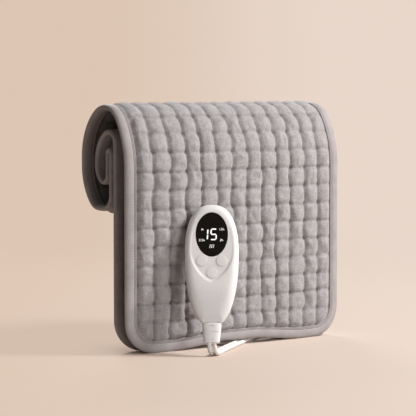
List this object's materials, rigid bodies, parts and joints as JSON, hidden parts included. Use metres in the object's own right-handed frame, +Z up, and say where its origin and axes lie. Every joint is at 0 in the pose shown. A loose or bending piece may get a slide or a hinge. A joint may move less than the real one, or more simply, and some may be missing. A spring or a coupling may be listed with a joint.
{
  "type": "heating pad with controller",
  "caption": "Quilted electric heating pad, folded and rolled to stand on its bound ends, with a hand-held display controller leaning on its front and corded leads behind.",
  "frame": {"origin": "on the floor, under the middle of the box round the pad and its controller", "axes": "+X along the pad's width, -Y the way the front panel faces, +Z up from the floor"},
  "size_m": [0.3, 0.1773, 0.2793],
  "materials": {
    "fleece": "soft plush face cloth",
    "reverse_fleece": "soft plush reverse cloth",
    "tape": "matte woven binding tape",
    "felt": "needled felt",
    "wire_sheath": "sheathed heating wire",
    "white_plastic": "satin moulded plastic",
    "black_lens": "gloss black window",
    "board": "circuit board laminate",
    "dark_plastic": "dark moulded plastic",
    "component": "component casing",
    "steel": "plain steel",
    "brass": "plated brass",
    "cord_plastic": "smooth white cord jacket",
    "tie": "hook-and-loop strap"
  },
  "bodies": {
    "pad_and_controller": {"front_cover": "fleece", "back_cover": "reverse_fleece", "heater_felt": "felt", "heating_wire": "wire_sheath", "edge_binding": "tape", "pad_cord_gland": "cord_plastic", "upper_shell": "white_plastic", "lower_shell": "white_plastic", "display_lens": "black_lens", "led_display": "dark_plastic", "circuit_board": "board", "strain_relief": "white_plastic", "left_switch": "dark_plastic", "right_switch": "dark_plastic", "lower_switch": "dark_plastic", "board_screw_1": "steel", "board_screw_2": "steel", "housing_screw_1": "steel", "housing_screw_2": "steel", "terminal_block": "dark_plastic", "dropper_capacitor": "component", "triac": "dark_plastic", "fuse": "component", "mains_inner_lead": "cord_plastic", "pad_inner_lead": "cord_plastic", "mains_lead_run": "cord_plastic", "mains_lead_coil": "cord_plastic", "mains_coil_tie": "tie", "mains_lead_tail": "cord_plastic", "plug_body": "cord_plastic", "plug_blade_left": "brass", "plug_blade_right": "brass", "pad_lead_run": "cord_plastic", "pad_lead_coil": "cord_plastic", "pad_coil_tie": "tie", "pad_lead_tail": "cord_plastic"},
    "left_button_body": {"left_button": "white_plastic", "left_switch_plunger": "steel"},
    "right_button_body": {"right_button": "white_plastic", "right_switch_plunger": "steel"},
    "lower_button_body": {"lower_button": "white_plastic", "lower_switch_plunger": "steel"}
  },
  "joints": [
    {"name": "left_button_press", "type": "slide", "parent": "pad_and_controller", "child": "left_button_body", "axis": [0.5514, 0.7874, -0.2756], "range_m": [0, 0.001], "stiffness_N_per_m": 400},
    {"name": "right_button_press", "type": "slide", "parent": "pad_and_controller", "child": "right_button_body", "axis": [0.5514, 0.7874, -0.2756], "range_m": [0, 0.001], "stiffness_N_per_m": 400},
    {"name": "lower_button_press", "type": "slide", "parent": "pad_and_controller", "child": "lower_button_body", "axis": [0.5514, 0.7874, -0.2756], "range_m": [0, 0.001], "stiffness_N_per_m": 400}
  ]
}
